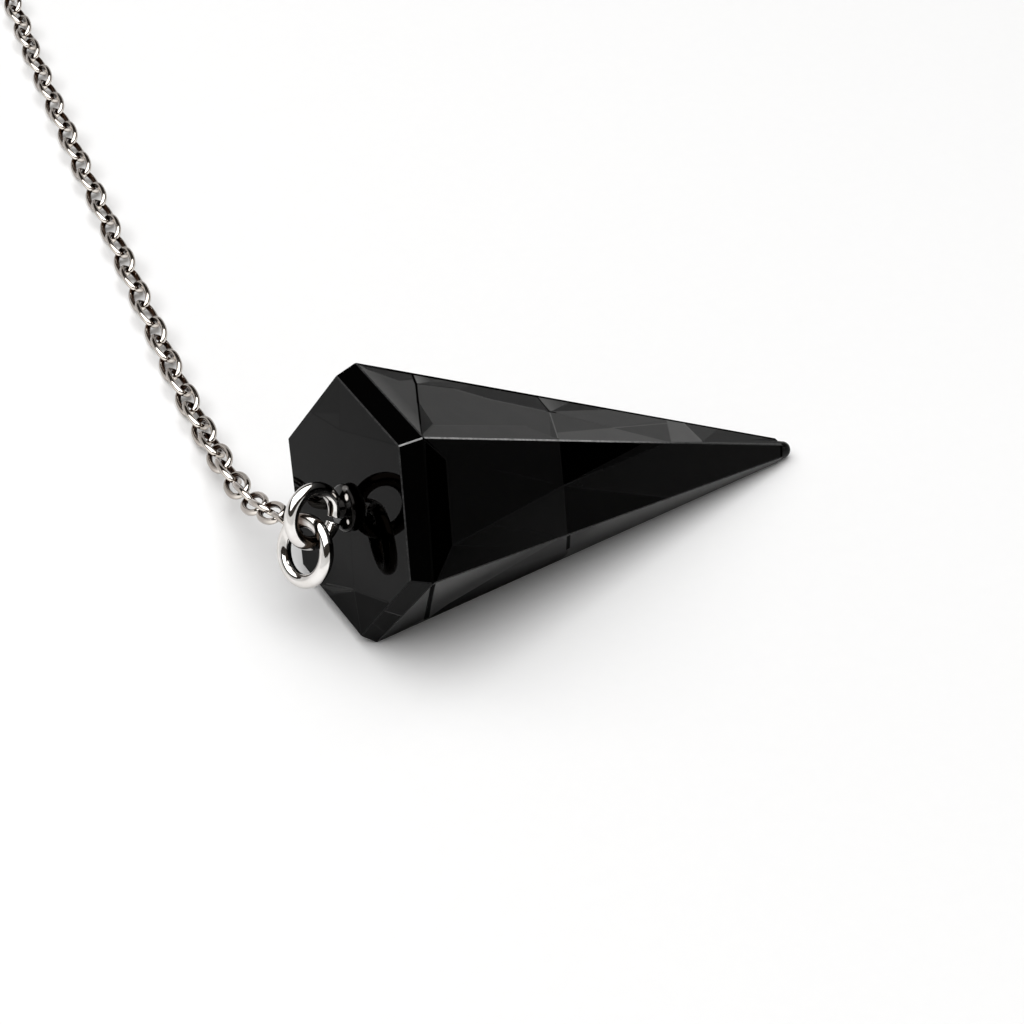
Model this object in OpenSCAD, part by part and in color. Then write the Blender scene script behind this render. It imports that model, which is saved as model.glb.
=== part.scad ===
// Pendulum pendant: a long six-sided polished stone that lies on one of its long facets,
// with a screw eye in its flat end, a round jump ring and a fine chain.
// Millimetres. The origin lies on the resting facet, straight under the middle of the girdle.
// +X runs towards the point, +Y along the chain, +Z is up.

/* [Stone] */
// Nominal radius of the girdle, from the stone's axis to a corner
girdle_r = 9.8; // [9.2:0.1:10.6]
// Distance from the girdle to the point that the six long facets aim at
point_len = 39.9; // [32:0.1:50]
// How far that aim lies off the axis, sideways
point_y = -0.05; // [-0.3:0.05:0.3]
// How far that aim lies off the axis, up or down
point_z = -0.07; // [-0.3:0.01:0.3]
// Depth of the crown, from the girdle to the flat end
crown_h = 1.42; // [1.2:0.02:1.8]
// Lean of the flat end, in degrees
table_lean = 1.2; // [0:0.1:2]
// Sideways turn of the flat end, in degrees
table_turn = 0.1; // [-1:0.1:1]
// Length ground off the sharp point
tip_cut = 3.88; // [3.4:0.02:4.4]
// Radius of the rounded tip where it starts
tip_base_r = 0.76; // [0.6:0.02:0.76]
// Radius of the ball that ends the tip
tip_ball_r = 0.66; // [0.5:0.02:0.68]
// Distance from the ground-off end to the ball's centre
tip_ball_x = 0.55; // [0.4:0.05:0.8]

/* [Screw eye] */
// Wire diameter of the eye and of the jump ring
wire_d = 1.0; // [0.9:0.02:1.04]
// Radius of the eye, to the middle of its wire
eye_r = 1.92; // [1.86:0.02:1.98]
// Radius of the collar that sits on the flat end
collar_r = 1.7; // [1.4:0.05:2]
// Thickness of the collar
collar_h = 0.5; // [0.4:0.05:0.6]
// Diameter of the post in the stone
post_d = 1.2; // [1:0.1:1.6]
// Length of the post below the collar
post_len = 6; // [4:0.5:8]
// Gap between the post or the collar and the stone
seat_gap = 0.05; // [0.03:0.01:0.1]

/* [Jump ring] */
// Radius of the jump ring, to the middle of its wire
ring_r = 2.12; // [2.1:0.01:2.16]

/* [Chain] */
// Width of the chain over its links
chain_d = 1.6; // [1.2:0.1:1.6]

/* [End ring] */
// Radius of the plain ring at the chain's free end, to the middle of its wire
end_r = 2.6; // [2.4:0.1:2.8]
// Wire diameter of the end ring
end_wire_d = 0.9; // [0.8:0.05:0.95]

/* [Hidden] */
$fn = 64;
stone_colour = [0.03, 0.03, 0.032];
metal_colour = [0.78, 0.76, 0.73];

// The six corners of the girdle, as cut by hand: [turn about the axis in degrees, share of girdle_r]
CORNERS = [[60.6, 1.003], [120.6, 1.005], [181.0, 0.994], [240.3, 0.995], [298.7, 0.983], [358.8, 1.017]];
// Slope of the crown facet that starts at each corner and ends at the next, in degrees from the axis
CROWN_SLOPES = [24.5, 23.3, 21.5, 26.3, 22.3, 22.2];

// Middle of the eye, measured from the middle of the flat end, and the turn and lean of its own axis
eye_step = [-2.74, -0.13, 0.31];
eye_turn = 103.4;
eye_lean = 105.4;
// Middle of the jump ring, measured from the eye's middle, and the turn and lean of its own axis
ring_step = [-0.78, -0.20, -2.61];
ring_turn = 192.0;
ring_lean = 66.2;
// Height of the jump ring's middle that the chain's route is drawn for
route_z = 6.19;

// The chain's route from the jump ring to the end ring:
// [x, y and z of its middle line, share of the jump ring's rise that the point follows]
ROUTE = [
    [-5.1, 2.65, 6.6, 1], [-4.95, 4.8, 5.9, 0.9], [-4.45, 8.8, 4.0, 0.7], [-3.8, 13.1, 2.5, 0.4],
    [-3.05, 17.8, 1.6, 0.2], [-2.3, 22.3, 1.0, 0], [-1.55, 26.9, 0.8, 0], [-0.75, 31.8, 0.8, 0],
    [1.15, 42.0, 0.8, 0], [3.2, 52.7, 0.8, 0], [5.1, 63.6, 0.8, 0], [7.15, 74.4, 0.8, 0],
    [9.25, 85.2, 0.8, 0], [11.25, 94.8, 0.8, 0], [11.8, 97.4, 0.8, 0]];
// The tube has a ring at least every so many of its diameters
RING_STEP = 3;
TUBE_SIDES = 8;
// Middle of the end ring; it lies nearly flat, raised a little where the chain holds it
end_at = [12.5, 100.8, 0.65];
end_turn = 78;
end_lean = 4.5;

// ---- vectors ----
function unit(v) = v / norm(v);
// The point where three planes meet, each given as [outward normal, distance]
function meet(p, q, r) =
    (p[1] * cross(q[0], r[0]) + q[1] * cross(r[0], p[0]) + r[1] * cross(p[0], q[0])) / (p[0] * cross(q[0], r[0]));
// A plane through two corners of the girdle that leans in towards the flat end
function lean_plane(a, b, slope) =
    let (along = unit(b - a),
         flat = unit(cross(along, [1, 0, 0])),
         out = flat * (a + b) > 0 ? flat : -flat,
         n = unit(cos(slope) * out - sin(slope) * [1, 0, 0]))
    [n, n * a];

// ---- the cut stone, first with its axis along X and the girdle at x = 0 ----
function girdle_raw(k) = let (c = CORNERS[k % 6]) girdle_r * c[1] * [0, cos(c[0]), sin(c[0])];
function crown_plane(k) = lean_plane(girdle_raw(k), girdle_raw((k + 1) % 6), CROWN_SLOPES[k % 6]);
table_n = unit([-1, tan(table_turn), -tan(table_lean)]);
table_plane = [table_n, table_n * [-crown_h, 0, 0]];
function table_raw(k) = meet(crown_plane((k + 5) % 6), crown_plane(k % 6), table_plane);
aim_raw = [point_len, point_y, point_z];

// ---- and then laid down on the long facet between corners 3 and 4 ----
up = unit(cross(girdle_raw(4) - girdle_raw(3), aim_raw - girdle_raw(3)))
     * (cross(girdle_raw(4) - girdle_raw(3), aim_raw - girdle_raw(3))[2] > 0 ? 1 : -1);
fwd = unit([1, 0, 0] - up[0] * up);
side = cross(up, fwd);
function lay(p) = [fwd * p, side * p, up * p - up * girdle_raw(3)];
GIRDLE = [for (k = [0:5]) lay(girdle_raw(k))];
TABLE = [for (k = [0:5]) lay(table_raw(k))];
AIM = lay(aim_raw);
CENTRE = lay([0, 0, 0]);
axis = unit(AIM - CENTRE);
table_at = (TABLE[0] + TABLE[1] + TABLE[2] + TABLE[3] + TABLE[4] + TABLE[5]) / 6;
seat = lay(table_n) - lay([0, 0, 0]);
eye_at = table_at + eye_step;
ring_at = eye_at + ring_step;

// Puts a shape that stands on Z at a place, with its Z along a direction
module stand(at, dir) {
    translate(at) rotate([0, acos(dir[2] / norm(dir)), atan2(dir[1], dir[0])]) children();
}

module stone_blank() {
    polyhedron(
        points = concat(GIRDLE, TABLE, [AIM]),
        faces = concat(
            [for (k = [0:5]) [k, (k + 1) % 6, 12]],
            [for (k = [0:5]) [(k + 1) % 6, k, 6 + k, 6 + (k + 1) % 6]],
            [[for (k = [0:5]) 11 - k]]));
}

module stone() {
    color(stone_colour) {
        difference() {
            stone_blank();
            // the sharp point, ground off
            stand(AIM - axis * tip_cut, axis) cylinder(r = 4, h = tip_cut + 2);
            // the hole for the post
            stand(table_at + seat * 1, -seat) cylinder(d = post_d + 2 * seat_gap, h = post_len + 1 + 0.3);
        }
        // the short rounded tip that is left
        stand(AIM - axis * (tip_cut + 0.1), axis) {
            cylinder(r1 = tip_base_r, r2 = tip_ball_r, h = tip_ball_x + 0.1);
            translate([0, 0, tip_ball_x + 0.1]) sphere(r = tip_ball_r);
        }
    }
}

module wire_ring(r, d) {
    rotate_extrude($fn = 96) translate([r, 0]) circle(d = d, $fn = 32);
}

module screw_eye() {
    color(metal_colour) {
        translate(eye_at) rotate([0, eye_lean, eye_turn]) wire_ring(eye_r, wire_d);
        stand(table_at + seat * seat_gap, seat) {
            // collar with a rounded rim
            cylinder(r = collar_r - collar_h / 2, h = collar_h);
            translate([0, 0, collar_h / 2]) wire_ring(collar_r - collar_h / 2, collar_h);
            // post
            translate([0, 0, -post_len]) cylinder(d = post_d, h = post_len + collar_h / 2);
            // short neck up to the eye
            cylinder(d = 1.3 * wire_d, h = collar_h + 0.45);
        }
    }
}

module jump_ring() {
    color(metal_colour) translate(ring_at) rotate([0, ring_lean, ring_turn]) wire_ring(ring_r, wire_d);
}

// ---- the chain's tube ----
route_n = len(ROUTE);
function route_at(i) = let (p = ROUTE[i]) [p[0], p[1], p[2] + p[3] * (ring_at[2] - route_z)];
function route_pt(i) = i < 0 ? 2 * route_at(0) - route_at(1)
    : i >= route_n ? 2 * route_at(route_n - 1) - route_at(route_n - 2) : route_at(i);
function curve(i, t) =
    let (a = route_pt(i - 1), b = route_pt(i), c = route_pt(i + 1), d = route_pt(i + 2))
    0.5 * (2 * b + (c - a) * t + (2 * a - 5 * b + 4 * c - d) * t * t + (3 * b - a - 3 * c + d) * t * t * t);
function rings_in(i) = ceil(norm(route_pt(i + 1) - route_pt(i)) / (RING_STEP * chain_d));
CURVE = [for (i = [0:route_n - 2]) for (j = [0:rings_in(i) - 1]) curve(i, j / rings_in(i)), route_at(route_n - 1)];
LINE = [for (p = CURVE) [p[0], p[1], max(p[2], chain_d / 2)]];
line_n = len(LINE);
function heading(i) = unit(LINE[min(i + 1, line_n - 1)] - LINE[max(i - 1, 0)]);
function tube_ring(i) =
    let (t = heading(i), across = unit(cross(t, [0, 0, 1])), rise = cross(across, t), r = chain_d / 2 / cos(180 / TUBE_SIDES))
    [for (k = [0:TUBE_SIDES - 1]) let (a = 360 * (k + 0.5) / TUBE_SIDES) LINE[i] + r * (cos(a) * across + sin(a) * rise)];

module chain() {
    pts = [for (i = [0:line_n - 1]) each tube_ring(i)];
    color(metal_colour) polyhedron(
        points = pts,
        faces = concat(
            [[for (k = [0:TUBE_SIDES - 1]) k]],
            [for (i = [0:line_n - 2]) for (k = [0:TUBE_SIDES - 1]) let (a = i * TUBE_SIDES + k, b = i * TUBE_SIDES + (k + 1) % TUBE_SIDES)
                [a, a + TUBE_SIDES, b + TUBE_SIDES, b]],
            [[for (k = [0:TUBE_SIDES - 1]) line_n * TUBE_SIDES - 1 - k]]));
}

module end_ring() {
    color(metal_colour) translate(end_at) rotate([0, end_lean, end_turn]) wire_ring(end_r, end_wire_d);
}

stone();
screw_eye();
jump_ring();
chain();
end_ring();
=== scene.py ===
"""Visual model of the pendulum pendant: polished dark stone, screw eye, jump ring, fine cable chain, end ring.

Lengths in the tables are millimetres in the part's own frame; MM turns them into metres.
"""
import math

import bmesh
import bpy
from mathutils import Matrix, Vector


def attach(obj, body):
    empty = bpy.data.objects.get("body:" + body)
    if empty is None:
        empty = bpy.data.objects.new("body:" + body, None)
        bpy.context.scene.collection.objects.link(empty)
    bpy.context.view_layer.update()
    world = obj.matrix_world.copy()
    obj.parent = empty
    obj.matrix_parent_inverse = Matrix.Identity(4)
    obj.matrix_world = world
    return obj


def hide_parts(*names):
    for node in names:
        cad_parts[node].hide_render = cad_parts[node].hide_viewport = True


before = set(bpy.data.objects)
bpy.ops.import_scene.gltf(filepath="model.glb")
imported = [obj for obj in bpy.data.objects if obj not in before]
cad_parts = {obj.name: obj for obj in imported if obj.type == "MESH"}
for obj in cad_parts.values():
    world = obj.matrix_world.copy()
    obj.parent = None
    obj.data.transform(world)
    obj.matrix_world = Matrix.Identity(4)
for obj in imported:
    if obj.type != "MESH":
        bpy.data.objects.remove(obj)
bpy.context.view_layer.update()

MM = 0.001
scene = bpy.context.scene


# ---------------------------------------------------------------- camera
# Position, forward, right and up of the camera, and its focal length in pixels of a 1024 pixel frame.
CAM_AT = Vector((-68.891, -132.455, 122.561))
CAM_FWD = Vector((0.412693, 0.676860, -0.609546))
CAM_RIGHT = Vector((0.864822, -0.501244, 0.028929))
CAM_FOCAL_PX = 2708.45

cam_data = bpy.data.cameras.new("camera")
cam = bpy.data.objects.new("camera", cam_data)
scene.collection.objects.link(cam)
back = -CAM_FWD.normalized()
right = (CAM_RIGHT - back * CAM_RIGHT.dot(back)).normalized()
up = back.cross(right)
at = CAM_AT * MM
cam.matrix_world = Matrix((
    (right.x, up.x, back.x, at.x),
    (right.y, up.y, back.y, at.y),
    (right.z, up.z, back.z, at.z),
    (0, 0, 0, 1)))
cam_data.sensor_width = 36
cam_data.lens = CAM_FOCAL_PX / 1024 * 36
cam_data.clip_start = 0.005
cam_data.clip_end = 20
scene.camera = cam
scene.view_settings.view_transform = "Standard"
scene.view_settings.look = "None"


# ---------------------------------------------------------------- small helpers
def unit(v):
    return Vector(v).normalized()


def add_object(name, mesh, slot=None, node=None):
    ob = bpy.data.objects.new(name, mesh)
    scene.collection.objects.link(ob)
    if slot:
        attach(ob, "root")
    if node:
        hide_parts(node)
    return ob


def mesh_from(name, verts_mm, faces, smooth=True):
    me = bpy.data.meshes.new(name)
    me.from_pydata([tuple(MM * c for c in v) for v in verts_mm], [], faces)
    me.update()
    if smooth:
        me.polygons.foreach_set("use_smooth", [True] * len(me.polygons))
    return me


def tube_rings(points, frames, radius, sides, closed=True, squash=None):
    """Vertices and faces of round wire along points; frames gives (across, rise) at each one."""
    verts, faces = [], []
    n = len(points)
    for i, (p, (a, b)) in enumerate(zip(points, frames)):
        r = radius(i) if callable(radius) else radius
        for k in range(sides):
            t = 2 * math.pi * k / sides
            verts.append(p + r * (math.cos(t) * a + math.sin(t) * b))
    for i in range(n if closed else n - 1):
        j = (i + 1) % n
        for k in range(sides):
            m = (k + 1) % sides
            faces.append((i * sides + k, j * sides + k, j * sides + m, i * sides + m))
    return verts, faces


# ---------------------------------------------------------------- the stone's shape
GIRDLE_R = 9.8
CORNERS = [(60.6, 1.003), (120.6, 1.005), (181.0, 0.994), (240.3, 0.995), (298.7, 0.983), (358.8, 1.017)]  # turn, share
CROWN_SLOPES = [24.5, 23.3, 21.5, 26.3, 22.3, 22.2]
CROWN_H = 1.42
TABLE_LEAN, TABLE_TURN = 1.2, 0.1
AIM = Vector((39.9, -0.05, -0.07))
TIP_CUT = 3.88
X = Vector((1, 0, 0))


def girdle_raw(k):
    t, share = CORNERS[k % 6]
    t = math.radians(t)
    return GIRDLE_R * share * Vector((0, math.cos(t), math.sin(t)))


def crown_plane(k):
    a, b = girdle_raw(k), girdle_raw(k + 1)
    out = unit((b - a).normalized().cross(X))
    if out.dot(a + b) < 0:
        out = -out
    s = math.radians(CROWN_SLOPES[k % 6])
    n = unit(math.cos(s) * out - math.sin(s) * X)
    return n, n.dot(a)


def meet(p, q, r):
    (n1, d1), (n2, d2), (n3, d3) = p, q, r
    return (d1 * n2.cross(n3) + d2 * n3.cross(n1) + d3 * n1.cross(n2)) / n1.dot(n2.cross(n3))


table_n = unit((-1, math.tan(math.radians(TABLE_TURN)), -math.tan(math.radians(TABLE_LEAN))))
table_plane = (table_n, table_n.dot(Vector((-CROWN_H, 0, 0))))
rest_n = unit((girdle_raw(4) - girdle_raw(3)).cross(AIM - girdle_raw(3)))
UP = rest_n if rest_n.z > 0 else -rest_n
FWD = unit(X - UP.x * UP)
SIDE = UP.cross(FWD)
LIFT = UP.dot(girdle_raw(3))


def lay(p):
    """From the stone's own axes to the frame in which it lies on its facet."""
    return Vector((FWD.dot(p), SIDE.dot(p), UP.dot(p) - LIFT))


G = [lay(girdle_raw(k)) for k in range(6)]
T = [lay(meet(crown_plane((k + 5) % 6), crown_plane(k), table_plane)) for k in range(6)]
P = lay(AIM)
CENTRE = lay(Vector((0, 0, 0)))
AXIS = unit(P - CENTRE)
TABLE_AT = sum(T, Vector()) / 6
SEAT = unit(lay(table_n) - lay(Vector((0, 0, 0))))

# ---------------------------------------------------------------- node helpers
def grey(step):
    """Linear light of a grey step from 0 to 255."""
    c = step / 255
    return c / 12.92 if c <= 0.04045 else ((c + 0.055) / 1.055) ** 2.4


class Graph:
    """A material's node tree, with short calls for the nodes used here."""

    def __init__(self, name):
        self.mat = bpy.data.materials.new(name)
        self.mat.use_nodes = True
        self.tree = self.mat.node_tree
        self.shader = self.tree.nodes["Principled BSDF"]
        self.place = self.tree.nodes.new("ShaderNodeTexCoord").outputs["Object"]

    def link(self, value, socket):
        if isinstance(value, bpy.types.NodeSocket):
            self.tree.links.new(value, socket)
        else:
            socket.default_value = value

    def math(self, op, a, b=None, c=None, clamp=False):
        node = self.tree.nodes.new("ShaderNodeMath")
        node.operation = op
        node.use_clamp = clamp
        for socket, value in zip(node.inputs, (a, b, c)):
            if value is not None:
                self.link(value, socket)
        return node.outputs[0]

    def dot(self, direction):
        """Position times direction, with the direction in 1/metre."""
        node = self.tree.nodes.new("ShaderNodeVectorMath")
        node.operation = "DOT_PRODUCT"
        self.link(self.place, node.inputs[0])
        node.inputs[1].default_value = direction
        return node.outputs["Value"]

    def noise(self, scale, detail=2.0, rough=0.5, stretch=None, seed=(0, 0, 0)):
        node = self.tree.nodes.new("ShaderNodeTexNoise")
        node.inputs["Scale"].default_value = scale
        node.inputs["Detail"].default_value = detail
        node.inputs["Roughness"].default_value = rough
        source = self.tree.nodes.new("ShaderNodeMapping")
        source.inputs["Scale"].default_value = stretch or (1, 1, 1)
        source.inputs["Location"].default_value = seed
        self.link(self.place, source.inputs["Vector"])
        self.link(source.outputs[0], node.inputs["Vector"])
        return node.outputs["Fac"]

    def ramp(self, value, low, high, out_low, out_high):
        node = self.tree.nodes.new("ShaderNodeMapRange")
        self.link(value, node.inputs["Value"])
        for name, v in (("From Min", low), ("From Max", high), ("To Min", out_low), ("To Max", out_high)):
            node.inputs[name].default_value = v
        return node.outputs["Result"]

    def colour(self, value, tint=(1, 1, 1)):
        node = self.tree.nodes.new("ShaderNodeCombineColor")
        for k in range(3):
            self.link(value if tint[k] == 1 else self.math("MULTIPLY", value, tint[k]), node.inputs[k])
        return node.outputs[0]

    def mix(self, fac, a, b):
        node = self.tree.nodes.new("ShaderNodeMix")
        node.data_type = "RGBA"
        self.link(fac, node.inputs[0])
        for socket, value in ((node.inputs[6], a), (node.inputs[7], b)):
            self.link(value if isinstance(value, bpy.types.NodeSocket) else (*value, 1), socket)
        return node.outputs[2]

    def bump(self, height, strength, distance):
        node = self.tree.nodes.new("ShaderNodeBump")
        node.inputs["Strength"].default_value = strength
        node.inputs["Distance"].default_value = distance
        self.link(height, node.inputs["Height"])
        self.link(node.outputs[0], self.shader.inputs["Normal"])
        return node.outputs[0]

    def set(self, **values):
        for name, value in values.items():
            self.link(value, self.shader.inputs[name.replace("_", " ")])
        return self.mat


class Facet:
    """A flat face with its own millimetre axes: u away from its first edge, v along that edge."""

    def __init__(self, origin, u, v):
        self.o, self.u, self.v = origin, u, v
        self.n = u.cross(v)

    def side(self, graph, a, b, width):
        """Smooth step, unclamped, that is above a half to the left of the line from a to b."""
        du, dv = b[0] - a[0], b[1] - a[1]
        size = math.hypot(du, dv)
        nu, nv = -dv / size, du / size
        m = nu * self.u + nv * self.v
        c = -(nu * a[0] + nv * a[1]) - m.dot(self.o)
        return graph.math("ADD", graph.dot(m * (1 / MM / width)), c / width + 0.5)

    def polygon(self, graph, points, width):
        area = sum(points[i - 1][0] * p[1] - p[0] * points[i - 1][1] for i, p in enumerate(points))
        if area < 0:
            points = points[::-1]
        mask = None
        for i, p in enumerate(points):
            s = self.side(graph, points[i - 1], p, width)
            mask = s if mask is None else graph.math("MINIMUM", mask, s)
        return graph.math("MINIMUM", graph.math("MAXIMUM", mask, 0.0), 1.0)

    def stroke(self, graph, a, b, thick, width):
        du, dv = b[0] - a[0], b[1] - a[1]
        size = math.hypot(du, dv)
        x, y = du / size * thick / 2, dv / size * thick / 2
        corners = [(a[0] - y, a[1] + x), (a[0] + y, a[1] - x), (b[0] + y, b[1] - x), (b[0] - y, b[1] + x)]
        return self.polygon(graph, corners, width)


def facet_between(a, b, towards):
    v = (b - a).normalized()
    mid = (a + b) / 2
    u = (towards - mid) - (towards - mid).dot(v) * v
    return Facet(mid, u.normalized(), v)


# ---------------------------------------------------------------- the stone's tones: painted reflections
# Fields of even tone and fine lines that show inside each facet, in the facet's own (u, v) millimetres. They are
# painted into the base colour: the light and dark patches and fine light lines stand in for reflections from the
# stone's inner planes, painted reflections rather than the stone's own colour.
# A field is (grey step from 0 to 255, lean, corners) and a line (grey step, lean, thickness, ends). The lean says how
# far the field's plane is turned towards LEAN, which dims what it mirrors. A step or lean that changes evenly across
# its field is given as (here, there, place of here, place of there).
LEAN = Vector((-0.413, -0.677, 0.610))
TOP_FIELDS = [
    ((84, 68, (0.0, 0.0), (1.4, 0.0)), 0, [(-0.3, -5.0), (4.3, -4.0), (3.9, -2.7), (0.8, 3.1), (-0.2, 5.0)]),
    (50, 0.01, [(0.3, -4.8), (4.3, -4.3), (4.0, -3.3), (2.6, -2.9), (0.4, -4.1)]),
    ((98, 58, (4.3, -4.0), (5.7, -3.8)), 0, [(4.3, -4.3), (7.6, -4.0), (4.9, -3.1), (3.9, -2.7)]),
    (55, 0, [(4.1, -2.7), (5.4, -3.3), (8.8, -3.9), (10.1, -3.2), (7.3, -2.6)]),
    (49, 0.01, [(7.3, -2.7), (10.1, -3.7), (14.8, -3.1), (14.7, -0.8), (9.8, -1.7)]),
    ((34, 50, (0.8, 3.4), (2.4, 1.0)), 0.045, [(2.6, -0.3), (2.0, 2.9), (1.3, 3.5), (0.1, 4.6), (0.8, 3.1)]),
    (69, 0, [(1.8, 3.2), (0.1, 4.9), (12.8, 3.2), (10.8, 1.9)]),
    (59, 0, [(10.8, 1.9), (14.1, 0.1), (14.6, -0.7), (12.8, 3.2)]),
    ((90, 64, (14.9, -2.4), (16.6, -2.0)), 0, [(14.9, -3.0), (18.0, -2.7), (16.1, -1.5), (14.8, -0.8)]),
    (46, 0.01, [(14.8, -0.8), (18.0, -2.7), (21.6, -2.2), (19.9, -1.5)]),
    (69, 0, [(14.8, -0.8), (21.6, -2.2), (26.6, -1.6), (19.6, 0.7)]),
    (80, 0, [(14.6, -0.7), (19.6, 0.7), (26.3, -1.0), (24.4, 1.9), (12.8, 3.4)]),
    (87, 0, [(26.4, -1.5), (28.0, -1.4), (27.9, 1.4), (24.4, 1.9)]),
    (58, 0, [(28.1, -1.4), (31.2, -1.2), (31.4, -0.6), (27.9, 1.4)]),
    (46, 0.01, [(31.5, -1.1), (34.0, -0.8), (37.0, -0.3), (37.0, 0.3), (27.9, 1.4)]),
    (20, 0.10, [(33.8, 0.3), (37.3, -0.1), (36.9, -0.6)]),
    (0, 0.5, [(-0.3, -5.2), (40.8, -0.4), (40.8, 0.3), (-0.3, -4.58)]),
]
TOP_LINES = [
    (0, 0.34, 0.22, [(4.45, -4.3), (3.9, -2.7)]),
    (4, 0.26, 0.17, [(3.95, -2.8), (2.4, 0.1)]),
    (6, 0.24, 0.12, [(2.5, -0.1), (0.8, 3.1)]),
    (20, 0.12, 0.12, [(0.8, 3.1), (-0.1, 4.9)]),
    (6, 0.24, 0.16, [(14.3, -0.72), (15.2, -0.72)]),
    (8, 0.18, 0.12, [(14.9, -3.1), (14.6, -0.8)]),
    (40, 0.05, 0.10, [(4.0, -2.75), (7.2, -2.75)]),
    (76, 0, 0.09, [(7.1, -2.55), (9.8, -1.6)]),
    (76, 0, 0.09, [(9.8, -1.6), (14.5, -0.65)]),
    (74, 0, 0.08, [(1.9, 3.1), (10.9, 1.8)]),
    (92, 0, 0.10, [(14.55, -0.6), (12.85, 3.1)]),
    (58, 0, 0.08, [(15.0, -0.62), (19.6, 0.62)]),
    (86, 0, 0.08, [(19.6, 0.7), (26.3, -1.0)]),
    (96, 0, 0.09, [(27.95, -1.2), (27.9, 1.2)]),
]
FRONT_FIELDS = [
    (0, 0.8, [(-0.3, -5.3), (1.9, -3.2), (2.0, 2.6), (0.2, 5.1), (-0.4, 4.6)]),
    (8, 0.08, [(1.9, -3.9), (12.7, -3.6), (12.9, -0.1), (2.0, 2.6), (1.9, -3.2)]),
    ((16, 9, (6.0, 0.8), (5.0, 4.0)), 0, [(2.0, 2.6), (12.9, -0.1), (13.0, 3.5), (0.2, 5.1)]),
    ((14, 19, (13.0, 0.0), (34.0, 0.0)), 0.07, [(12.9, -0.1), (23.6, -1.9), (37.3, -0.6), (37.3, 0.6), (13.0, 3.5)]),
    ((12, 8, (16.0, 1.0), (15.0, 3.4)), 0.09, [(13.0, -0.1), (23.9, 2.2), (13.0, 3.5)]),
    (0, 0.8, [(36.55, -1.0), (38.0, -1.0), (38.0, 1.0), (36.55, 1.0)]),
    ((6, 13, (20.5, -2.2), (24.5, -2.2)), 0.22, [(12.8, -3.6), (25.2, -2.2), (20.0, -1.3), (12.9, -0.1)]),
    (0, 0.85, [(12.8, -3.6), (22.4, -2.45), (19.6, -1.75), (12.9, -0.15)]),
]
FRONT_LINES = [
    (13, 0, 0.08, [(1.9, -3.2), (2.0, 2.6)]), (12, 0, 0.08, [(0.0, -4.8), (1.9, -3.2)]), (13, 0, 0.08, [(2.0, 2.6), (0.2, 5.0)]),
    (11, 0, 0.06, [(0.1, -4.7), (-0.1, 1.2)]), (13, 0, 0.06, [(6.0, -2.1), (11.9, -0.4)]), (11, 0, 0.07, [(12.7, -3.3), (12.9, -0.1)]),
    (18, 0, 0.07, [(12.9, -0.1), (13.0, 3.5)]), (19, 0, 0.07, [(2.0, 2.6), (12.9, -0.1)]),
    (20, 0, 0.07, [(12.9, -0.1), (17.0, -0.8)]), (18, 0, 0.07, [(12.9, -0.1), (23.9, 2.1)]), (16, 0, 0.06, [(2.0, 2.6), (6.6, 3.3)]),
]
LOWER_FIELDS = [
    ((68, 36, (4.4, -4.3), (6.2, -0.8)), 0, [(0.0, -5.2), (13.4, -3.7), (13.0, 0.6), (5.2, 2.2), (4.0, 3.8)]),
    ((44, 12, (9.0, -0.6), (8.2, 3.2)), (0.03, 0.26, (9.0, -0.6), (8.2, 3.2)), [(12.3, -3.4), (13.7, -2.0), (16.1, 1.8), (16.0, 3.4), (3.6, 5.0), (5.2, 2.2)]),
    ((74, 24, (18.5, -5.0), (17.0, 1.0)), 0, [(13.6, -3.6), (37.0, -0.7), (37.0, 0.6), (15.6, 3.2), (15.8, 1.2)]),
    ((60, 26, (0.4, -3.6), (1.6, 4.0)), (0.0, 0.14, (0.4, -3.6), (1.6, 4.4)), [(-0.2, -4.9), (0.1, -4.4), (3.8, 3.5), (1.0, 5.2), (-0.4, 4.8)]),
]
LOWER_LINES = [
    (0, 0.8, 0.38, [(0.1, -4.6), (4.0, 3.9)]), (52, 0, 0.10, [(0.6, -4.0), (3.5, 2.2)]), (0, 0.8, 0.24, [(13.3, -3.0), (15.4, 0.6)]),
    (50, 0, 0.10, [(12.0, -3.2), (5.3, 2.1)]),
]
TABLE_FIELDS = [
    (37, 0.03, [(2.3, -8.9), (7.6, -5.4), (8.4, -4.2), (4.6, -2.8), (3.6, -6.7)]),
    (41, 0.015, [(8.4, -4.2), (8.3, 5.1), (7.9, 4.6), (4.6, -2.8)]),
    (40, 0, [(-1.4, 0.8), (-1.0, 4.0), (-3.2, 7.1), (-5.2, 2.6)]),
    (42, 0, [(-3.4, -0.4), (-5.2, 2.6), (-7.6, -1.2)]),
    (58, 0, [(-7.7, -1.7), (-5.2, 2.6), (-7.1, 0.1)]),
    (29, 0.11, [(-8.0, -0.6), (-5.2, 2.7), (-8.3, 4.7)]),
    (23, 0.17, [(-5.2, 2.7), (-3.2, 6.9), (-3.1, 8.2), (-8.3, 5.2), (-8.3, 4.6)]),
]
TABLE_LINES = [
    (31, 0.06, 0.09, [(3.6, -6.7), (4.6, -2.8)]), (33, 0.05, 0.09, [(4.6, -2.8), (7.9, 4.6)]), (33, 0.05, 0.08, [(8.0, -4.2), (4.6, -2.8)]),
    (34, 0.04, 0.09, [(-1.4, 0.8), (-5.2, 2.7)]), (46, 0, 0.08, [(-3.4, 0.1), (-5.2, 2.7)]), (46, 0, 0.08, [(-5.2, 2.7), (-3.3, 6.9)]),
    (44, 0, 0.10, [(-5.2, 2.7), (-7.5, 4.5)]), (62, 0, 0.09, [(-7.1, -1.0), (-5.2, 2.5)]), (56, 0, 0.08, [(-7.2, 0.0), (-5.4, 2.5)]),
]
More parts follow.
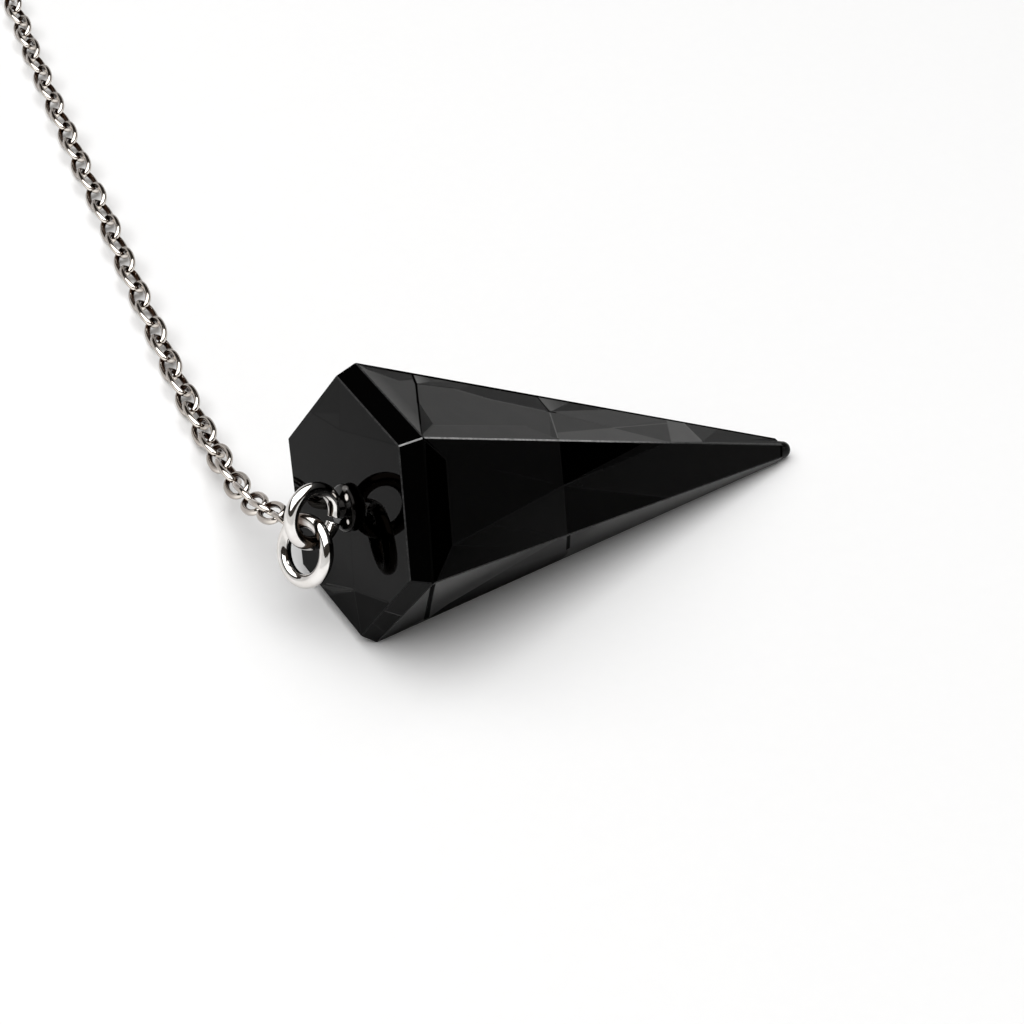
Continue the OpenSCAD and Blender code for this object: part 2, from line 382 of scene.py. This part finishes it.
CROWN_C_FIELDS = [(29, 0.02, [(-0.5, -5.5), (2.6, -5.5), (2.6, 0.0), (-0.5, 0.4)]), (24, 0.07, [(-0.5, 0.4), (2.6, 0.0), (2.6, 5.5), (-0.5, 5.5)])]
CROWN_C_LINES = [(56, 0, 0.10, [(-0.2, 0.4), (2.2, 0.1)]), (38, 0, 0.07, [(-0.2, 3.4), (2.2, 1.6)])]
CROWN_FIELDS = [((22, 10, (0.0, -4.0), (0.0, 3.0)), 0, [(-0.5, -5.5), (2.6, -5.5), (2.6, 1.0), (-0.5, 0.2)])]
CROWN_LINES = [(40, 0, 0.08, [(-0.2, 0.3), (2.2, 1.0)])]


def flipped(rows):
    """The same fields or lines with the two long sides of the facet swapped."""
    def swap(value):
        return value[:2] + tuple((u, -v) for u, v in value[2:]) if isinstance(value, tuple) else value
    return [tuple(swap(x) for x in row[:-1]) + ([(u, -v) for u, v in row[-1]],) for row in rows]


# Each facet: name, fields, lines, ground step (its painted overall grey), light that it mirrors towards the front,
# light that falls on it
LONG = [
    ("top", TOP_FIELDS, TOP_LINES, 66, 0.029, 1.00),
    ("front", FRONT_FIELDS, FRONT_LINES, 9, 0.0032, 0.85),
    ("lower", LOWER_FIELDS, LOWER_LINES, 44, 0.027, 0.50),
    ("under", flipped(FRONT_FIELDS), flipped(FRONT_LINES), 10, 0.003, 0.50),
    ("back_lower", flipped(LOWER_FIELDS), flipped(LOWER_LINES), 44, 0.027, 0.60),
    ("back", flipped(TOP_FIELDS[:-1]), flipped(TOP_LINES), 66, 0.029, 0.90),
]
CROWN = [
    ("crown_a", [], [], 1, 0.0, 0.5),
    ("crown_b", [], [], 1, 0.0, 0.5),
    ("crown_c", CROWN_C_FIELDS, CROWN_C_LINES, 28, 0.0145, 0.80),
    ("crown_d", CROWN_FIELDS, CROWN_LINES, 10, 0.0, 0.5),
    ("crown_e", CROWN_FIELDS, CROWN_LINES, 10, 0.0, 0.5),
    ("crown_f", CROWN_FIELDS, CROWN_LINES, 10, 0.0, 0.5),
]
TABLE = ("table", TABLE_FIELDS, TABLE_LINES, 43, 0.0246, 0.95)
IOR_STONE, IOR_TABLE = 1.12, 1.13
FIELD_BLUR = 0.11


def stone_material(row, facet, ior=IOR_STONE):
    name, fields, lines, ground, own, lit = row
    g = Graph("stone_" + name)

    # the painted base colour that, with the light the facet mirrors (own) and the light falling on it (lit), gives the
    # grey step
    def albedo(step):
        return max(0.0, (grey(step) - own) / lit)

    def spread(value, convert):
        """A number, or an even change between two places of the facet."""
        if not isinstance(value, tuple):
            return convert(value)
        here, there, a, b = value
        du, dv = b[0] - a[0], b[1] - a[1]
        size = du * du + dv * dv
        m = (du * facet.u + dv * facet.v) / size
        along = g.math("ADD", g.dot(m / MM), -(du * a[0] + dv * a[1]) / size - m.dot(facet.o), clamp=True)
        return g.math("MULTIPLY_ADD", along, convert(there) - convert(here), convert(here))

    def over(mask, value, ground_value):
        """value where the mask is one, what was there before elsewhere"""
        if isinstance(value, float) and isinstance(ground_value, float):
            step = value - ground_value
        else:
            step = g.math("SUBTRACT", value, ground_value)
        return g.math("MULTIPLY_ADD", mask, step, ground_value)

    # paints the ground grey and then each field and line into the base colour: painted reflections
    tone, lean = albedo(ground), 0.0
    marks = [(step, turn, corners, None) for step, turn, corners in fields]
    marks += [(step, turn, ends, thick) for step, turn, thick, ends in lines]
    for step, turn, places, thick in marks:
        mask = facet.polygon(g, places, FIELD_BLUR) if thick is None else facet.stroke(g, *places, thick, 0.08)
        tone = over(mask, spread(step, albedo), tone)
        if turn or isinstance(lean, bpy.types.NodeSocket):
            lean = over(mask, spread(turn, float), lean)
    cloud = g.noise(420, 3, 0.55, seed=(0.7, 0.2, 0.4))
    fine = g.noise(5200, 2, 0.6, seed=(0.1, 0.9, 0.3))
    vary = g.math("MULTIPLY_ADD", cloud, 0.34, 0.80)
    vary = g.math("MULTIPLY_ADD", fine, 0.10, vary)
    base = g.colour(g.math("MULTIPLY", tone, vary), (1, 1, 0.985))
    marks = g.noise(2600, 2, 0.7, stretch=(0.25, 1, 1), seed=(0.3, 0.3, 0.8))
    normal = g.bump(marks, 0.02, 0.00002)
    if isinstance(lean, bpy.types.NodeSocket):
        n = facet.n
        scale = g.tree.nodes.new("ShaderNodeVectorMath")
        scale.operation = "SCALE"
        scale.inputs[0].default_value = LEAN - LEAN.dot(n) * n
        g.link(lean, scale.inputs["Scale"])
        turned = g.tree.nodes.new("ShaderNodeVectorTransform")
        turned.vector_type, turned.convert_from, turned.convert_to = "VECTOR", "OBJECT", "WORLD"
        g.link(scale.outputs[0], turned.inputs[0])
        total = g.tree.nodes.new("ShaderNodeVectorMath")
        g.link(normal, total.inputs[0])
        g.link(turned.outputs[0], total.inputs[1])
        even = g.tree.nodes.new("ShaderNodeVectorMath")
        even.operation = "NORMALIZE"
        g.link(total.outputs[0], even.inputs[0])
        g.link(even.outputs[0], g.shader.inputs["Normal"])
    g.shader.inputs["IOR"].default_value = ior
    return g.set(Base_Color=base, Roughness=g.ramp(marks, 0.35, 0.75, 0.015, 0.05))


def edge_material(name, step, roughness, ior):
    g = Graph("stone_edge_" + name)
    chips = g.noise(3800, 3, 0.65, seed=(0.5, 0.1, 0.6))
    # painted highlight: the edge's grey step is light painted into its base colour, varied at random by the chips
    tone = g.ramp(chips, 0.3, 0.72, grey(step) * 0.55, grey(step) * 1.5)
    # the painted highlight of the light edges fades away towards the tip
    if name == "light":
        far = CENTRE + 15 * AXIS
        tone = g.math("MULTIPLY", tone, g.ramp(g.dot(AXIS / MM), far.dot(AXIS), far.dot(AXIS) + 10, 1.0, 0.09))
    base = g.colour(tone)
    g.bump(chips, 0.25, 0.00002)
    g.shader.inputs["IOR"].default_value = ior
    return g.set(Base_Color=base, Roughness=g.ramp(chips, 0.3, 0.7, roughness * 0.7, roughness * 1.3))


# ---------------------------------------------------------------- the stone's mesh
BEVEL = 0.075
TIP_BASE_R, TIP_BALL_R, TIP_BALL_X = 0.76, 0.66, 0.55
HOLE_R, HOLE_DEPTH = 0.65, 6.3
cut_at = P - AXIS * TIP_CUT
K = []
for g_corner in G:
    d = P - g_corner
    K.append(g_corner + d * ((cut_at - g_corner).dot(AXIS) / d.dot(AXIS)))

materials = [stone_material(row, facet_between(G[k], G[(k + 1) % 6], P)) for k, row in enumerate(LONG)]
materials += [stone_material(row, facet_between(G[k], G[(k + 1) % 6], T[k])) for k, row in enumerate(CROWN)]
table_v = -(SEAT.cross(Vector((0, 0, 1)))).normalized()
materials.append(stone_material(TABLE, Facet(TABLE_AT, SEAT.cross(table_v), table_v), IOR_TABLE))
# Painted brightness of the bevelled edges: name, grey step, roughness, IOR; 'light' is a painted highlight line, 'soft'
# and 'faint' weaker painted light lines, 'dark' near black
EDGE_STEPS = [("light", 135, 0.2, 1.3), ("soft", 46, 0.25, 1.12), ("faint", 26, 0.3, 1.08), ("dark", 3, 0.5, 1.05)]
materials += [edge_material(*row) for row in EDGE_STEPS]
EDGE0 = 13
LIGHT, SOFT, FAINT, DARK = 0, 1, 2, 3
# The painted brightness of each edge, corner by corner: a painted highlight line on LIGHT edges, fainter painted light
# on SOFT and FAINT ones
RIDGE_LOOK = [DARK, LIGHT, SOFT, DARK, SOFT, DARK]       # from girdle corner k to the point
GIRDLE_LOOK = [SOFT, DARK, FAINT, DARK, SOFT, SOFT]    # from girdle corner k to the next
TABLE_LOOK = [SOFT, SOFT, FAINT, DARK, DARK, DARK]       # from table corner k to the next
CROWN_LOOK = [DARK, LIGHT, FAINT, DARK, SOFT, DARK]      # from girdle corner k to table corner k

bm = bmesh.new()
vg = [bm.verts.new(v) for v in G]
vt = [bm.verts.new(v) for v in T]
vk = [bm.verts.new(v) for v in K]
spans = []
for k in range(6):
    n = (k + 1) % 6
    bm.faces.new((vg[k], vg[n], vk[n], vk[k])).material_index = k
    bm.faces.new((vg[n], vg[k], vt[k], vt[n])).material_index = 6 + k
    spans += [(G[k], K[k], RIDGE_LOOK[k]), (G[k], G[n], GIRDLE_LOOK[k]), (T[k], T[n], TABLE_LOOK[k]),
              (G[k], T[k], CROWN_LOOK[k]), (K[k], K[n], DARK)]
bm.faces.new(vt[::-1]).material_index = 12
bm.faces.new(vk).material_index = EDGE0 + DARK
bmesh.ops.recalc_face_normals(bm, faces=bm.faces)
bmesh.ops.bevel(bm, geom=list(bm.edges), offset=BEVEL, offset_type="OFFSET", segments=2, profile=0.5,
                affect="EDGES", clamp_overlap=True, material=99)
bm.faces.ensure_lookup_table()
bm.normal_update()


def span_distance(p, a, b):
    d = b - a
    t = max(0.0, min(1.0, (p - a).dot(d) / d.dot(d)))
    return (a + t * d - p).length


for f in bm.faces:
    if f.material_index == 99:
        c = f.calc_center_median()
        f.material_index = EDGE0 + min(spans, key=lambda s: span_distance(c, s[0], s[1]))[2]


def ring_of(centre, normal, radius, count):
    a = normal.orthogonal().normalized()
    b = normal.cross(a)
    return [centre + radius * (math.cos(2 * math.pi * i / count) * a + math.sin(2 * math.pi * i / count) * b) for i in range(count)]


def open_round(face, centre, normal, radius, count):
    """Replaces a face by a flat one with a round opening; returns the opening's vertices."""
    index = face.material_index
    rim = list(face.edges)
    bmesh.ops.delete(bm, geom=[face], context="FACES_ONLY")
    ring = [bm.verts.new(p) for p in ring_of(centre, normal, radius, count)]
    loop = [bm.edges.new((ring[i - 1], ring[i])) for i in range(count)]
    made = bmesh.ops.bridge_loops(bm, edges=rim + loop)["faces"]
    for f in made:
        f.material_index = index
    return ring


def extend(ring, centre, normal, radius, index):
    """Adds one more ring of faces to a round opening."""
    out = []
    for v in ring:
        d = v.co - centre_line(v.co, centre, normal)
        out.append(bm.verts.new(centre + d.normalized() * radius))
    for i in range(len(ring)):
        bm.faces.new((ring[i - 1], ring[i], out[i], out[i - 1])).material_index = index
    return out


def centre_line(p, centre, normal):
    return centre + (p - centre).dot(normal) * normal


table_face = max((f for f in bm.faces if f.material_index == 12), key=lambda f: f.calc_area())
ring = open_round(table_face, TABLE_AT, SEAT, HOLE_R, 32)
ring = extend(ring, TABLE_AT - SEAT * HOLE_DEPTH, SEAT, HOLE_R, EDGE0 + DARK)
bm.faces.new(ring).material_index = EDGE0 + DARK

tip_face = min((f for f in bm.faces if len(f.verts) >= 6 and f.material_index == EDGE0 + DARK and f.normal.dot(AXIS) > 0.99),
               key=lambda f: (f.calc_center_median() - cut_at).length)
ring = open_round(tip_face, cut_at, AXIS, TIP_BASE_R, 36)
profile = [(0.0, TIP_BASE_R), (0.08, 0.735), (0.3, 0.71), (TIP_BALL_X, TIP_BALL_R)]
profile += [(TIP_BALL_X + TIP_BALL_R * math.sin(math.radians(a)), TIP_BALL_R * math.cos(math.radians(a))) for a in (15, 30, 45, 60, 72, 82)]
for x, r in profile[1:]:
    ring = extend(ring, cut_at + AXIS * x, AXIS, r, EDGE0 + 4)
bm.faces.new(ring).material_index = EDGE0 + 4
bmesh.ops.recalc_face_normals(bm, faces=bm.faces)
widest = max(bm.faces, key=lambda f: f.calc_area())
if widest.normal.dot(widest.calc_center_median() - CENTRE) < 0:
    bmesh.ops.reverse_faces(bm, faces=bm.faces)
bm.normal_update()

# flat facets stay flat right up to their bevels, and the bevels turn smoothly between them
flat_of = {}
for f in bm.faces:
    if f.material_index < EDGE0 or f.normal.dot(AXIS) > 0.9999:
        for v in f.verts:
            flat_of[v] = f.normal.copy()
for v in bm.verts:
    if v not in flat_of:
        total = Vector()
        for f in v.link_faces:
            total += f.normal * f.calc_area()
        flat_of[v] = total.normalized()
bm.verts.index_update()
vertex_normals = [flat_of[v].copy() for v in bm.verts]
for v in bm.verts:
    v.co *= MM
stone_mesh = bpy.data.meshes.new("stone_cut")
bm.to_mesh(stone_mesh)
bm.free()


def tip_material():
    g = Graph("stone_tip")
    chips = g.noise(3000, 3, 0.6, seed=(0.2, 0.4, 0.1))
    g.bump(chips, 0.15, 0.00003)
    # rim: a painted highlight, the base colour gets lighter over the rounded end of the tip
    rim = g.ramp(g.dot(AXIS / MM), (P - AXIS * (TIP_CUT - 0.75)).dot(AXIS), (P - AXIS * (TIP_CUT - 1.15)).dot(AXIS), 0.0, 0.05)
    g.shader.inputs["IOR"].default_value = 1.16
    tone = g.math("ADD", g.ramp(chips, 0.3, 0.75, 0.0005, 0.006), rim)
    return g.set(Base_Color=g.colour(tone), Roughness=g.ramp(chips, 0.3, 0.7, 0.12, 0.3))


materials.append(tip_material())
for m in materials:
    stone_mesh.materials.append(m)
stone_mesh.polygons.foreach_set("use_smooth", [True] * len(stone_mesh.polygons))
stone_mesh.normals_split_custom_set([vertex_normals[loop.vertex_index] for loop in stone_mesh.loops])
stone = add_object("stone_cut", stone_mesh, slot="stone", node="stone")


# ---------------------------------------------------------------- metal
def metal_material(name, tint, dark, roughness, wear, double=None, outline=0.0, painted_shade_spot=None):
    """Polished metal. double: the painted tint of its image in polished neighbours, a painted darkening of its
    reflections. outline: painted shade, how dark it gets where the surface
    turns away. The last argument: middle in mm and two radii of a painted shade spot, dark brown where one wire passes
    behind another."""
    g = Graph(name)
    brush = g.noise(3000, 3, 0.6, seed=(0.3, 0.8, 0.2))
    spots = g.noise(900, 3, 0.55, seed=(0.6, 0.1, 0.9))
    base = g.mix(g.ramp(spots, 0.46, 0.74, 0.0, wear), tint, dark)
    # painted shade: the base colour turns dark brown near the given middle, where one wire passes behind another
    if painted_shade_spot:
        away = g.tree.nodes.new("ShaderNodeVectorMath")
        away.operation = "DISTANCE"
        g.link(g.place, away.inputs[0])
        away.inputs[1].default_value = painted_shade_spot[0] * MM
        base = g.mix(g.ramp(away.outputs["Value"], painted_shade_spot[1] * MM, painted_shade_spot[2] * MM, 0.9, 0.0), base, (0.10, 0.06, 0.04))
    # painted shade: a dark brown outline painted where the surface turns from view
    if outline:
        turn = g.tree.nodes.new("ShaderNodeLayerWeight")
        turn.inputs["Blend"].default_value = 0.5
        base = g.mix(g.ramp(turn.outputs["Facing"], 0.18, 0.62, 0.0, outline), base, (0.075, 0.045, 0.03))
    # painted reflection: seen in a reflection, the metal takes the dark double tint, painted shade in its mirror images
    if double:
        path = g.tree.nodes.new("ShaderNodeLightPath")
        base = g.mix(path.outputs["Is Glossy Ray"], base, double)
    g.bump(brush, 0.10, 0.000012)
    return g.set(Base_Color=base, Metallic=1.0, Roughness=g.ramp(brush, 0.3, 0.75, roughness * 0.6, roughness * 1.5))


def collar_material(places):
    """Glossy metal painted near black, standing in for the dark stone it mirrors, with small matt painted highlights
    given as (middle in mm, radius in mm, brightness).
    """
    g = Graph("collar_painted_dark_metal")
    chips = g.noise(2600, 3, 0.6, seed=(0.4, 0.6, 0.2))
    tone, painted_highlight = g.ramp(chips, 0.3, 0.75, 0.006, 0.016), 0.0
    # each place is a painted highlight: lighter, non-metallic base colour
    for middle, radius, bright in places:
        away = g.tree.nodes.new("ShaderNodeVectorMath")
        away.operation = "DISTANCE"
        g.link(g.place, away.inputs[0])
        away.inputs[1].default_value = middle * MM
        spot = g.ramp(away.outputs["Value"], radius * 0.6 * MM, radius * MM, 1.0, 0.0)
        tone = g.math("MAXIMUM", tone, g.math("MULTIPLY", spot, bright))
        painted_highlight = g.math("MAXIMUM", painted_highlight, spot)
    g.bump(chips, 0.12, 0.000015)
    return g.set(Base_Color=g.colour(tone, (1, 0.95, 0.91)), Metallic=g.math("SUBTRACT", 1.0, painted_highlight),
                 Roughness=g.ramp(chips, 0.3, 0.75, 0.08, 0.2))


# the painted dark tint of the fittings in their own reflections in the stone and in each other
DOUBLE = (0.045, 0.034, 0.026)
# the last number of the fittings' and chain's metal is the strength of their painted dark outline
METAL = metal_material("polished_metal", (0.93, 0.91, 0.885), (0.55, 0.49, 0.43), 0.09, 0.30, DOUBLE, 0.35)
CHAIN_METAL = metal_material("chain_metal", (0.99, 0.93, 0.86), (0.50, 0.40, 0.31), 0.11, 0.3, None, 0.72)
# painted shade for the insides of the chain links
CHAIN_PAINTED_SHADE = metal_material("chain_metal_painted_shade", (0.045, 0.022, 0.012), (0.012, 0.006, 0.004), 0.20, 0.6)

WIRE_R = 0.5
COLLAR_R, COLLAR_H = 1.7, 0.5
SEAT_GAP = 0.05
POST_R, POST_LEN = 0.6, 6.0


def ring_axes(lean, turn):
    """In-plane axes and normal of a ring turned by lean about Y and then by turn about Z."""
    m = Matrix.Rotation(math.radians(turn), 3, "Z") @ Matrix.Rotation(math.radians(lean), 3, "Y")
    return m @ Vector((1, 0, 0)), m @ Vector((0, 1, 0)), m @ Vector((0, 0, 1))


def arc_wire(centre, a, b, n, radius, wire, start, end, steps, sides, closed):
    """Round wire bent to a ring or an arc. An arc has slightly rounded ends."""
    pts, frames, radii = [], [], []
    count = steps if closed else steps + 1
    for i in range(count):
        t = math.radians(start + (end - start) * i / steps)
        d = math.cos(t) * a + math.sin(t) * b
        pts.append(centre + radius * d)
        frames.append((d, n))
        radii.append(wire)
    if not closed:
        rim = math.degrees(0.12 * wire / radius)
        extra_start, extra_end = [], []
        for shrink, shift in ((0.985, 0.5), (0.90, 1.0)):
            t = math.radians(start - rim * shift)
            d = math.cos(t) * a + math.sin(t) * b
            extra_start.append((centre + radius * d, (d, n), wire * shrink))
            t = math.radians(end + rim * shift)
            d = math.cos(t) * a + math.sin(t) * b
            extra_end.append((centre + radius * d, (d, n), wire * shrink))
        rows = extra_start[::-1] + list(zip(pts, frames, radii)) + extra_end
        pts, frames, radii = [list(x) for x in zip(*rows)]
    verts, faces = tube_rings(pts, frames, lambda i: radii[i], sides, closed)
    if not closed:
        faces.append(tuple(range(sides))[::-1])
        faces.append(tuple(range(len(verts) - sides, len(verts))))
    return verts, faces


def lathe(origin, axis, profile, sides):
    """Turned solid along axis; the profile is [distance along it, radius] and closes on the axis at both ends."""
    a = axis.orthogonal().normalized()
    b = axis.cross(a)
    verts, faces = [], []
    for x, r in profile:
        for k in range(sides):
            t = 2 * math.pi * k / sides
            verts.append(origin + axis * x + r * (math.cos(t) * a + math.sin(t) * b))
    for i in range(len(profile) - 1):
        for k in range(sides):
            m = (k + 1) % sides
            faces.append((i * sides + k, i * sides + m, (i + 1) * sides + m, (i + 1) * sides + k))
    faces.append(tuple(range(sides))[::-1])
    faces.append(tuple(range((len(profile) - 1) * sides, len(profile) * sides)))
    return verts, faces


def joined(name, parts, smooth_angle=50):
    verts, faces = [], []
    for v, f in parts:
        base = len(verts)
        verts += v
        faces += [tuple(base + i for i in face) for face in f]
    me = mesh_from(name, verts, faces)
    b = bmesh.new()
    b.from_mesh(me)
    bmesh.ops.recalc_face_normals(b, faces=b.faces)
    for e in b.edges:
        if len(e.link_faces) == 2 and e.calc_face_angle(0) > math.radians(smooth_angle):
            e.smooth = False
    b.to_mesh(me)
    b.free()
    return me


# ---------------------------------------------------------------- screw eye
EYE_R = 1.92
EYE_AT = TABLE_AT + Vector((-2.74, -0.13, 0.31))
ea, eb, en = ring_axes(105.4, 103.4)
inward = -SEAT - (-SEAT).dot(en) * en
inward.normalize()
across = en.cross(inward)
if across.z < 0:
    across = -across
# the wire leaves the neck upwards, goes once round and stops just short of the neck from below
eye = arc_wire(EYE_AT, inward, across, en, EYE_R, WIRE_R, -10, 335, 120, 32, False)
seat_at = TABLE_AT + SEAT * SEAT_GAP
rim = COLLAR_H / 2
collar = [(-POST_LEN, POST_R * 0.9), (-POST_LEN + 0.06, POST_R), (-0.02, POST_R), (0.0, POST_R + 0.02)]
collar += [(rim + rim * math.sin(math.radians(a)), COLLAR_R - rim + rim * math.cos(math.radians(a))) for a in range(-90, 91, 15)]
collar += [(COLLAR_H + 0.02, 0.86), (COLLAR_H + 0.07, 0.76), (COLLAR_H + 0.18, 0.69), (COLLAR_H + 0.36, 0.65), (COLLAR_H + 0.43, 0.60), (COLLAR_H + 0.45, 0.50)]
screw = lathe(seat_at, SEAT, collar, 48)
eye_mesh = joined("screw_eye_wire", [eye, screw])
eye_mesh.materials.append(METAL)
# the collar, neck and post: metal painted near black, with three painted highlights
eye_mesh.materials.append(collar_material([
    (TABLE_AT + Vector((-0.33, -0.42, 1.27)), 0.30, 0.95),
    (TABLE_AT + Vector((-0.61, -1.17, -0.26)), 0.22, 0.95),
    (TABLE_AT + Vector((-0.24, 0.12, 1.70)), 0.36, 0.12)]))
eye_mesh.polygons.foreach_set("material_index", [0] * len(eye[1]) + [1] * len(screw[1]))
add_object("screw_eye_wire", eye_mesh, slot="fittings", node="screw_eye")

# ---------------------------------------------------------------- jump ring and end ring
RING_AT = EYE_AT + Vector((-0.78, -0.20, -2.61))
ra, rb, rn = ring_axes(66.2, 192.0)
ring_mesh = joined("jump_ring_wire", [arc_wire(RING_AT, ra, rb, rn, 2.12, WIRE_R, 0, 360, 128, 32, True)])
# painted shade: the jump ring's back turns dark brown here, where it passes behind the eye
behind = RING_AT + 2.12 * (math.cos(math.radians(215)) * ra + math.sin(math.radians(215)) * rb)
ring_mesh.materials.append(metal_material("polished_metal_ring", (0.93, 0.91, 0.885), (0.55, 0.49, 0.43), 0.09, 0.30,
                                          DOUBLE, 0.35, (behind, 0.7, 1.3)))
add_object("jump_ring_wire", ring_mesh, slot="fittings", node="jump_ring")

END_AT = Vector((12.5, 100.8, 0.65))
fa, fb, fn = ring_axes(4.5, 78.0)
end_mesh = joined("end_ring_wire", [arc_wire(END_AT, fa, fb, fn, 2.6, 0.45, 92, 92 + 358.6, 120, 28, False)])
end_mesh.materials.append(CHAIN_METAL)
add_object("end_ring_wire", end_mesh, slot="chain", node="end_ring")

# ---------------------------------------------------------------- chain
LINK_LONG, LINK_WIDE, LINK_WIRE = 1.64, 0.80, 0.235   # half sizes of a link's centre line, radius of its wire
LINK_POWER = 2.3
# Middles of the links that lie face up, from the jump ring to the free end
STATIONS = [(-4.96, 4.81, 6.01), (-4.44, 8.8, 3.94), (-3.82, 13.1, 2.5), (-3.06, 17.78, 1.63), (-2.3, 22.23, 0.99),
            (-1.55, 26.86, 0.8), (-0.76, 31.76, 0.8), (0.15, 36.6, 0.8), (1.13, 42.01, 0.81), (2.15, 47.37, 0.8),
            (3.2, 52.71, 0.78), (4.21, 58.13, 0.78), (5.11, 63.59, 0.83), (6.13, 69.01, 0.85), (7.13, 74.44, 0.88),
            (8.19, 79.84, 0.84), (9.24, 85.24, 0.81), (10.24, 89.84, 0.8), (11.27, 94.8, 0.8)]
FIRST = (-4.98, 2.28, 6.84)     # the link that hooks the jump ring
LAST = (11.78, 97.55, 0.89)     # the link that hooks the end ring
HOOK_WIRE = 0.18                # these two are of slightly finer wire
FACE_ROLL = (25.0, 45.0)        # roll of a face link near the jump ring and far from it, in degrees
SIDE_ROLL = (140.0, 128.0, 138.0, 144.0)   # rolls of the links between them, from the jump ring on


def link_mesh(centre, along, roll, wire=LINK_WIRE, steps=44, sides=14):
    h = along.cross(Vector((0, 0, 1))).normalized()
    b = h.cross(along)
    w = math.cos(math.radians(roll)) * h + math.sin(math.radians(roll)) * b
    n = along.cross(w)
    pts, frames = [], []
    for i in range(steps):
        t = 2 * math.pi * i / steps
        c, s = math.cos(t), math.sin(t)
        x = LINK_LONG * math.copysign(abs(c) ** (2 / LINK_POWER), c)
        y = LINK_WIDE * math.copysign(abs(s) ** (2 / LINK_POWER), s)
        pts.append((x, y))
    spread = [0.0]
    for i in range(steps):
        (x0, y0), (x1, y1) = pts[i], pts[(i + 1) % steps]
        spread.append(spread[-1] + math.hypot(x1 - x0, y1 - y0))
    even = []
    j = 0
    for i in range(steps):
        want = spread[-1] * i / steps
        while spread[j + 1] < want:
            j += 1
        f = (want - spread[j]) / (spread[j + 1] - spread[j])
        (x0, y0), (x1, y1) = pts[j % steps], pts[(j + 1) % steps]
        even.append((x0 + f * (x1 - x0), y0 + f * (y1 - y0)))
    places = [centre + x * along + y * w for x, y in even]
    for i in range(steps):
        d = (places[(i + 1) % steps] - places[i - 1]).normalized()
        frames.append((d.cross(n).normalized(), n))
    return tube_rings(places, frames, wire, sides, True)


face_at = [Vector((x, y, max(z, 0.81))) for x, y, z in STATIONS]
links = []
for i, p in enumerate(face_at):
    before = face_at[i - 1] if i else Vector(FIRST)
    after = face_at[i + 1] if i + 1 < len(face_at) else Vector(LAST)
    share = min(1.0, i / 6)
    roll = FACE_ROLL[0] + (FACE_ROLL[1] - FACE_ROLL[0]) * share
    links.append((p, (after - before).normalized(), roll))
    if i + 1 < len(face_at):
        q = (p + after) / 2
        side_roll = SIDE_ROLL[min(i, len(SIDE_ROLL) - 1)]
        links.append((q, (after - p).normalized(), side_roll))
ring_point = Vector((-5.05, 1.66, 6.85))
links.append((Vector(FIRST), (face_at[0] - ring_point).normalized(), 135.7, HOOK_WIRE))
hook = Vector((11.97, 98.24, 0.65))
links.append((Vector(LAST), (hook - face_at[-1]).normalized(), 119.2, HOOK_WIRE))
chain_mesh = joined("chain_links", [link_mesh(*row) for row in links])
chain_mesh.materials.append(CHAIN_METAL)
chain_mesh.materials.append(CHAIN_PAINTED_SHADE)
# painted shade: the inside of each link is dark brown, most of all at its ends where the links meet
STEPS, SIDES = 44, 14
inner = []
for i in range(STEPS):
    end = abs(math.cos(2 * math.pi * (i + 0.5) / STEPS)) > 0.72
    for k in range(SIDES):
        inward = -math.cos(2 * math.pi * (k + 0.5) / SIDES)
        inner.append(1 if inward > (0.2 if end else 0.75) else 0)
chain_mesh.polygons.foreach_set("material_index", inner * len(links))
add_object("chain_links", chain_mesh, slot="chain", node="chain")


# ---------------------------------------------------------------- floor, backdrop and light
def stage_material():
    g = Graph("pale_floor")
    grain = g.noise(900, 3, 0.6)
    g.bump(grain, 0.05, 0.00002)
    return g.set(Base_Color=g.colour(g.ramp(grain, 0.2, 0.8, 0.855, 0.865)), Roughness=0.9)


FLOOR_R, SWEEP_R, SWEEP_H = 0.60, 0.25, 0.30   # metres
turn, steps = 96, 10
rows = [(0.0, 0.0), (0.1, 0.0), (0.2, 0.0), (0.3, 0.0), (0.45, 0.0)]
rows += [(FLOOR_R + SWEEP_R * math.sin(math.radians(a)), SWEEP_R * (1 - math.cos(math.radians(a)))) for a in range(0, 91, 9)]
rows.append((FLOOR_R + SWEEP_R, SWEEP_H))
verts = [(0, 0, 0)]
for r, z in rows[1:]:
    verts += [(r * math.cos(2 * math.pi * k / turn), r * math.sin(2 * math.pi * k / turn), z) for k in range(turn)]
faces = [(0, 1 + k, 1 + (k + 1) % turn) for k in range(turn)]
for i in range(len(rows) - 2):
    for k in range(turn):
        m = (k + 1) % turn
        faces.append((1 + i * turn + k, 1 + (i + 1) * turn + k, 1 + (i + 1) * turn + m, 1 + i * turn + m))
floor_mesh = bpy.data.meshes.new("floor")
floor_mesh.from_pydata(verts, [], faces)
floor_mesh.polygons.foreach_set("use_smooth", [True] * len(floor_mesh.polygons))
floor_mesh.materials.append(stage_material())
floor = bpy.data.objects.new("floor", floor_mesh)
floor.location = (0.01, 0.02, -0.00001)
scene.collection.objects.link(floor)


def softbox(name, size, watts, at, look):
    light = bpy.data.lights.new(name, "AREA")
    light.shape = "SQUARE"
    light.size = size
    light.energy = watts
    ob = bpy.data.objects.new(name, light)
    at, look = Vector(at), Vector(look)
    ob.matrix_world = Matrix.Translation(at) @ (at - look).to_track_quat("Z", "Y").to_matrix().to_4x4()
    scene.collection.objects.link(ob)
    return ob


AIM_AT = Vector((0.012, 0.02, 0.005))
softbox("softbox", 1.0, 7.5, AIM_AT + 0.6 * unit((-0.18, 0.05, 0.98)), AIM_AT)

world = bpy.data.worlds.new("room")
scene.world = world
world.use_nodes = True
world.node_tree.nodes["Background"].inputs["Color"].default_value = (1.0, 0.86, 0.74, 1)
world.node_tree.nodes["Background"].inputs["Strength"].default_value = 0.03
